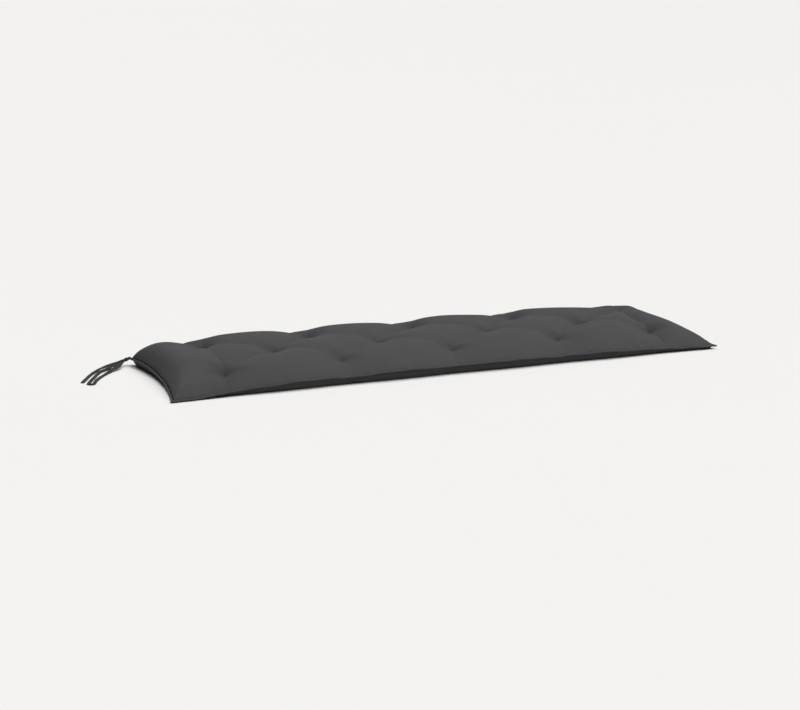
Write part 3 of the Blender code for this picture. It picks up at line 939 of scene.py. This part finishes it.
def build_piping(material, radius):
    """The covered cord in the seam, a little uneven where the stitches pull it."""
    seam = seam_places(PIPING_STEPS)
    count = len(seam)
    after = np.roll(seam, -1, axis=0) - seam
    after[:, 2] = 0
    after /= np.linalg.norm(after, axis=1, keepdims=True)
    before = np.roll(after, 1, axis=0)
    ahead = before + after
    ahead /= np.linalg.norm(ahead, axis=1, keepdims=True)
    mitre = 1 / np.sum(ahead * after, axis=1)
    outward = np.stack([ahead[:, 1], -ahead[:, 0], np.zeros(count)], axis=1)
    upward = np.tile((0.0, 0.0, 1.0), (count, 1))
    run = np.arange(count) * (PIPING_RUN / count)
    out = (radius - PIPING_TUCK + ripple(run, PIPING_SWAY)) * mitre
    centres = seam + outward * out[:, None] + upward * ripple(run, PIPING_RISE)[:, None]
    centres[:, 2] = np.maximum(centres[:, 2], radius + PIPING_CLEARANCE)
    turn = np.arange(PIPING_SIDES) * 2 * math.pi / PIPING_SIDES
    circle = np.stack([np.cos(turn), np.sin(turn)], axis=1)
    section = circle[None] * (radius * (1 + ripple(run, PIPING_SWELL)))[:, None, None]
    section[:, :, 0] *= mitre[:, None]
    item = sweep("piping_cord", centres, outward, upward, section, True, 2 * math.pi * radius)
    finish_piece(item, material, "piping_cloth", "welt")


# ------------------------------------------------------------------ ties
def smooth_route(rows, step):
    """Evenly spaced points on a Catmull-Rom curve through a route's rows, and how far along each lies."""
    knots = np.array(rows, dtype=float)
    knots = np.concatenate([2 * knots[:1] - knots[1:2], knots, 2 * knots[-1:] - knots[-2:-1]])
    dense = []
    for before, low, high, after in zip(knots, knots[1:], knots[2:], knots[3:]):
        for t in np.arange(ROUTE_STEPS) / ROUTE_STEPS:
            dense.append(0.5 * (2 * low + (high - before) * t
                                + (2 * before - 5 * low + 4 * high - after) * t ** 2
                                + (3 * low - before - 3 * high + after) * t ** 3))
    dense.append(knots[-2])
    dense = np.array(dense)
    walked = np.concatenate([[0.0], np.cumsum(np.linalg.norm(np.diff(dense, axis=0), axis=1))])
    count = max(2, round(walked[-1] / step)) + 1
    places = np.linspace(0, walked[-1], count)
    return np.stack([np.interp(places, walked, dense[:, axis]) for axis in range(3)], axis=1), places


def strip_frames(points, rolls):
    """The way across and the way up at each point of a strip that lies flat, turned by its rolls."""
    ahead = np.gradient(points, axis=0)
    ahead /= np.linalg.norm(ahead, axis=1, keepdims=True)
    across = np.cross(ahead, (0.0, 0.0, 1.0))
    across /= np.linalg.norm(across, axis=1, keepdims=True)
    up = np.cross(across, ahead)
    turned = across * np.cos(rolls)[:, None] + up * np.sin(rolls)[:, None]
    return turned, np.cross(turned, ahead)


def squared_off(wave, power):
    return np.sign(wave) * np.abs(wave) ** power


def strip_section(half_width, half_rise, gathered, seed):
    """The strip's rounded outline at each point, pinched by its stitches and folded where it is gathered."""
    turn = np.arange(STRIP_SIDES) * 2 * math.pi / STRIP_SIDES
    out = squared_off(np.cos(turn), STRIP_SQUARENESS[0])
    rise = squared_off(np.sin(turn), STRIP_SQUARENESS[1])
    pinch = 1 - STITCH_PINCH * np.exp(-((np.abs(out) - STITCH_LINE) / STITCH_LINE_WIDTH) ** 2)
    folds = 1 + STRIP_FOLDS * gathered[:, None] * np.cos(3 * turn + seed)[None]
    return np.stack([out[None] * half_width[:, None],
                     rise[None] * half_rise[:, None] * pinch[None] * folds], axis=2)


def topstitching(points, across, up, half_width, half_rise, walked, end):
    """The middle, the way ahead and the way up of each stitch, in two rows that end where told."""
    stitches = []
    for edge in (-STITCH_LINE, STITCH_LINE):
        place = TIE_GATHER_RUN * STITCH_GATHERS
        while place < end:
            index = int(np.searchsorted(walked, place))
            middle = Vector(points[index] + across[index] * half_width[index] * edge
                            + up[index] * half_rise[index] * STITCH_LIFT)
            stitches.append((middle, Vector(np.cross(up[index], across[index])), Vector(up[index])))
            place += STITCH_SPACING
    return stitches


def build_strip(name, rows, both_ends, material, seed):
    """A folded and topstitched strip of cloth that lies as the photograph shows."""
    points, walked = smooth_route(rows, STRIP_STEP)
    from_knot = np.minimum(walked, walked[-1] - walked) if both_ends else walked
    share = np.clip(from_knot / TIE_GATHER_RUN, 0, 1)
    low = np.clip((STRIP_LIFTED - points[:, 2]) / STRIP_LIFTING, 0, 1)
    across, up = strip_frames(points, (1 - low) * ripple(walked, STRIP_ROLL, seed))
    width = TIE_GATHER + (1 - TIE_GATHER) * share * share * (3 - 2 * share)
    width = width + TIE_SPREAD * np.exp(-((from_knot - TIE_SPREAD_AT) / TIE_SPREAD_RUN) ** 2)
    half_width = TIE_WIDTH / 2 * width * (1 - ripple(walked, STRIP_NARROWING, seed))
    half_rise = TIE_THICKNESS / 2 * (STRIP_FLATNESS + STRIP_BUNCHING * (1 - share))
    half_rise = half_rise * (1 + ripple(walked, STRIP_THICKENING, 2 * seed))
    if not both_ends:
        tip = np.sqrt(np.clip((walked[-1] - walked) / TIP_RUN, 0, 1))
        half_rise = half_rise * (TIP_THICKNESS + (1 - TIP_THICKNESS) * tip)
        half_width = half_width * (TIP_WIDTH + (1 - TIP_WIDTH) * tip)
    section = strip_section(half_width, half_rise, 1 - share, seed)
    lowered = points[:, 2] - (TIE_THICKNESS / 2 - half_rise) * low
    points[:, 2] = np.maximum(lowered, half_rise + FLOOR_CLEARANCE)
    item = sweep(name, points, across, up, section, False, 2 * TIE_WIDTH)
    finish_piece(item, material, "tie_cloth", name.replace("_strip", ""))
    end = walked[-1] - (TIE_GATHER_RUN * STITCH_GATHERS if both_ends else TIP_RUN)
    stitches = topstitching(points, across, up, half_width, half_rise, walked, end)
    return item, points, stitches, walked[-1]


def stitch_mesh(name, stitches, length, radius, material, slot):
    """Many short stitches in one mesh: each a small capsule that dips into the cloth at its ends."""
    body = bmesh.new()
    for middle, ahead, up in stitches:
        side = ahead.cross(up).normalized()
        rings = []
        for share in STITCH_SHARES:
            centre = middle + ahead * (length / 2 * share) - up * (radius * STITCH_DIP * share * share)
            size = radius * math.sqrt(STITCH_BLUNTNESS - share * share)
            ring = []
            for step in range(STITCH_SIDES):
                angle = 2 * math.pi * step / STITCH_SIDES
                offset = side * (size * math.cos(angle)) + up * (size * math.sin(angle))
                ring.append(body.verts.new(centre + offset))
            rings.append(ring)
        for here, there in zip(rings, rings[1:]):
            for step in range(STITCH_SIDES):
                after = (step + 1) % STITCH_SIDES
                body.faces.new((here[step], there[step], there[after], here[after]))
        body.faces.new(rings[0])
        body.faces.new(rings[-1])
    item = object_from(body, name)
    finish_piece(item, material, slot)
    return item


def knot_parts():
    """A rounded core, a neck towards the piping and the strip wound round them three times."""
    deselect_all()
    bpy.ops.mesh.primitive_uv_sphere_add(segments=32, ring_count=20, radius=1.0)
    core = bpy.context.object
    radii = [radius * share for radius, share in zip(KNOT_RADII, KNOT_CORE)]
    core.data.transform(Matrix.Diagonal(radii + [1.0]))
    deselect_all()
    inner, outer = [KNOT_RADII[1] * share for share in KNOT_NECK]
    bpy.ops.mesh.primitive_cone_add(vertices=24, radius1=inner, radius2=outer, depth=NECK_LENGTH)
    neck = bpy.context.object
    place = Matrix.Translation((KNOT_RADII[0] * NECK_START + NECK_LENGTH / 2, 0, 0))
    neck.data.transform(place @ Matrix.Rotation(math.pi / 2, 4, "Y"))
    parts = [core, neck]
    for along, tilt, size in KNOT_WRAPS:
        deselect_all()
        bpy.ops.mesh.primitive_torus_add(major_segments=40, minor_segments=12,
                                         major_radius=WRAP_RADIUS * size, minor_radius=WRAP_THICKNESS)
        wrap = bpy.context.object
        turn = Euler((0, math.radians(90) + tilt, tilt)).to_matrix().to_4x4()
        wrap.data.transform(Matrix.Translation((along, 0, 0)) @ turn)
        parts.append(wrap)
    return parts


def build_knot(material):
    """The gathered end of the tie, with its parts melted together."""
    knot = join_parts(knot_parts())
    knot.name = "tie_knot_wrap"
    remesh = knot.modifiers.new("one_form", "REMESH")
    remesh.mode = "VOXEL"
    remesh.voxel_size = KNOT_CELL
    bpy.ops.object.modifier_apply(modifier=remesh.name)
    smooth = knot.modifiers.new("softened", "SMOOTH")
    smooth.factor = 0.5
    smooth.iterations = 3
    bpy.ops.object.modifier_apply(modifier=smooth.name)
    places = read_places(knot.data)
    angle = np.arctan2(places[:, 2], places[:, 1]) * KNOT_RADII[1]
    lay_cloth_map(knot.data, np.stack([places[:, 0], angle], axis=1))
    turn = Euler((0, -KNOT_SLOPE, KNOT_TURN)).to_matrix().to_4x4()
    knot.data.transform(Matrix.Translation(KNOT_CENTRE) @ turn)
    finish_piece(knot, material, "tie_cloth", "tie_knot")


# ------------------------------------------------------------------ tuft threads
def tuft_stitches():
    """Two crossing stitches at the bottom of each tuft, above and below."""
    x = np.array([tuft.x for tuft in TUFTS])
    y = np.array([tuft.y for tuft in TUFTS])
    above = top_place(x, y, detail=False) + (0, 0, TUFT_THREAD_RISE)
    below = under_place(x, y) - (0, 0, TUFT_THREAD_SINK)
    stitches = []
    for index in range(len(TUFTS)):
        for start in TUFT_THREAD_TURNS:
            turn = start + TUFT_THREAD_STEP * index
            ahead = Vector((math.cos(turn), math.sin(turn), 0))
            stitches.append((Vector(above[index]), ahead, Vector((0, 0, 1))))
            stitches.append((Vector(below[index]), ahead, Vector((0, 0, -1))))
    return stitches


# ------------------------------------------------------------------ what a user would change
class CushionSettings(bpy.types.PropertyGroup):
    """The sizes and colours of the cushion's cloth, piping and tie."""

    cloth_colour: bpy.props.FloatVectorProperty(
        name="Cloth colour", description="Colour of the cover cloth",
        subtype="COLOR", size=3, min=0, max=1, default=(0.0495, 0.0495, 0.0520))
    piping_colour: bpy.props.FloatVectorProperty(
        name="Piping colour", description="Colour of the cloth over the piping cord",
        subtype="COLOR", size=3, min=0, max=1, default=(0.0560, 0.0560, 0.0588))
    tie_colour: bpy.props.FloatVectorProperty(
        name="Tie colour", description="Colour of the strips of the tie",
        subtype="COLOR", size=3, min=0, max=1, default=(0.0260, 0.0260, 0.0276))
    thread_colour: bpy.props.FloatVectorProperty(
        name="Thread colour", description="Colour of the sewing and tufting thread",
        subtype="COLOR", size=3, min=0, max=1, default=(0.0180, 0.0180, 0.0190))
    weave_size: bpy.props.FloatProperty(
        name="Weave size", description="Distance between neighbouring threads of the cover cloth",
        subtype="DISTANCE", unit="LENGTH", precision=5, default=0.0009, min=0.0002, max=0.01)
    piping_radius: bpy.props.FloatProperty(
        name="Piping radius", description="Radius of the covered cord in the seam",
        subtype="DISTANCE", unit="LENGTH", precision=5, default=PIPING_RADIUS, min=0.001, max=0.006)


class StageSettings(bpy.types.PropertyGroup):
    """The floor and the light."""

    floor_colour: bpy.props.FloatVectorProperty(
        name="Floor colour", description="Colour of the plain floor",
        subtype="COLOR", size=3, min=0, max=1, default=(0.740, 0.730, 0.715))
    light_level: bpy.props.FloatProperty(
        name="Light level", description="Brightness of all the softboxes together",
        default=1.0, min=0, max=10)
    fill_strength: bpy.props.FloatProperty(
        name="Fill strength", description="Strength of the even light from all round",
        default=0.03, min=0, max=10)


# ------------------------------------------------------------------ operators
class BENCH_OT_stage(bpy.types.Operator):
    """Sets the camera, the soft studio light and the plain floor"""
    bl_idname = "bench_cushion.stage"
    bl_label = "Stage"

    def execute(self, context):
        settings = context.scene.bench_stage
        camera = new_object("camera", bpy.data.cameras.new("camera"))
        camera.location = CAMERA_PLACE
        camera.rotation_euler = CAMERA_TURN
        camera.data.sensor_width = CAMERA_SENSOR
        camera.data.lens = CAMERA_LENS
        camera.data.clip_end = VIEW_END
        context.scene.camera = camera

        deselect_all()
        bpy.ops.mesh.primitive_plane_add(size=FLOOR_SIZE)
        floor = context.object
        floor.name = "floor"
        floor.data.materials.append(studio_floor("floor_paper", settings.floor_colour))

        for lamp in LAMPS:
            item = new_object(lamp.name, bpy.data.lights.new(lamp.name, "SUN"))
            item.data.energy = lamp.strength * settings.light_level
            item.data.angle = math.radians(lamp.softness)
            turn = math.radians(lamp.turn)
            height = math.radians(lamp.height)
            level = math.cos(height)
            towards = Vector((level * math.cos(turn), level * math.sin(turn), math.sin(height)))
            item.rotation_euler = towards.to_track_quat("Z", "Y").to_euler()
            item.location = towards * LAMP_DISTANCE

        world = bpy.data.worlds.new("studio")
        world.use_nodes = True
        background = world.node_tree.nodes["Background"]
        background.inputs["Color"].default_value = (1.0, 1.0, 1.0, 1.0)
        background.inputs["Strength"].default_value = settings.fill_strength
        context.scene.world = world
        context.scene.view_settings.view_transform = "Standard"
        return {"FINISHED"}


class BENCH_OT_ties(bpy.types.Operator):
    """Builds the tie at the back left corner: its tail, its loop, its knot and its topstitching"""
    bl_idname = "bench_cushion.ties"
    bl_label = "Ties"

    def execute(self, context):
        settings = context.scene.bench_cushion
        cloth = woven_cloth("tie_weave", settings.tie_colour, FINE_THREAD, TIE_WEAVE)
        thread = spun_thread("tie_thread", settings.thread_colour)
        build_knot(cloth)
        for name, rows, both, seed in (
            ("tie_tail_strip", TAIL_ROUTE, False, 0.4),
            ("tie_loop_strip", LOOP_ROUTE, True, 2.3),
        ):
            strip, points, stitches, length = build_strip(name, rows, both, cloth, seed)
            sewing_name = name.replace("strip", "stitches")
            sewing = stitch_mesh(sewing_name, stitches, STITCH_LENGTH, STITCH_RADIUS, thread, "tie_cloth")
        return {"FINISHED"}


class BENCH_OT_cover(bpy.types.Operator):
    """Builds the filled and tufted cover and lets its cloth settle"""
    bl_idname = "bench_cushion.cover"
    bl_label = "Cover"

    def execute(self, context):
        settings = context.scene.bench_cushion
        thread = settings.weave_size
        build_cushion(woven_cloth("cover_weave", settings.cloth_colour, thread, COVER_WEAVE, painted=True))
        return {"FINISHED"}


class BENCH_OT_piping(bpy.types.Operator):
    """Builds the covered cord that is sewn into the seam"""
    bl_idname = "bench_cushion.piping"
    bl_label = "Piping"

    def execute(self, context):
        settings = context.scene.bench_cushion
        cloth = woven_cloth("piping_weave", settings.piping_colour, FINE_THREAD, COVER_WEAVE)
        build_piping(cloth, settings.piping_radius)
        return {"FINISHED"}


class BENCH_OT_tufting(bpy.types.Operator):
    """Adds the crossing threads at each tuft, above and below"""
    bl_idname = "bench_cushion.tufting"
    bl_label = "Tufting"

    def execute(self, context):
        settings = context.scene.bench_cushion
        thread = spun_thread("tuft_thread", settings.thread_colour)
        stitch_mesh(
            "tuft_stitches", tuft_stitches(), TUFT_THREAD_LENGTH, TUFT_THREAD_RADIUS, thread, "cover_cloth")
        return {"FINISHED"}


class BENCH_PT_panel(bpy.types.Panel):
    """The cushion's settings and the steps that build it"""
    bl_idname = "BENCH_PT_panel"
    bl_label = "Bench Cushion"
    bl_space_type = "VIEW_3D"
    bl_region_type = "UI"
    bl_category = "Bench Cushion"

    def draw(self, context):
        for group in (context.scene.bench_cushion, context.scene.bench_stage):
            for name in group.__annotations__:
                self.layout.prop(group, name)
        for step in STEPS:
            self.layout.operator(step.bl_idname)


STEPS = (BENCH_OT_stage, BENCH_OT_ties, BENCH_OT_cover, BENCH_OT_piping, BENCH_OT_tufting)
CLASSES = (CushionSettings, StageSettings) + STEPS + (BENCH_PT_panel,)


def register():
    for item in CLASSES:
        bpy.utils.register_class(item)
    bpy.types.Scene.bench_cushion = bpy.props.PointerProperty(type=CushionSettings)
    bpy.types.Scene.bench_stage = bpy.props.PointerProperty(type=StageSettings)


def unregister():
    del bpy.types.Scene.bench_stage
    del bpy.types.Scene.bench_cushion
    for item in reversed(CLASSES):
        bpy.utils.unregister_class(item)


def main():
    register()
    bpy.ops.bench_cushion.stage()
    bpy.ops.bench_cushion.ties()
    bpy.ops.bench_cushion.cover()
    bpy.ops.bench_cushion.piping()
    bpy.ops.bench_cushion.tufting()


if __name__ == "__main__":
    main()
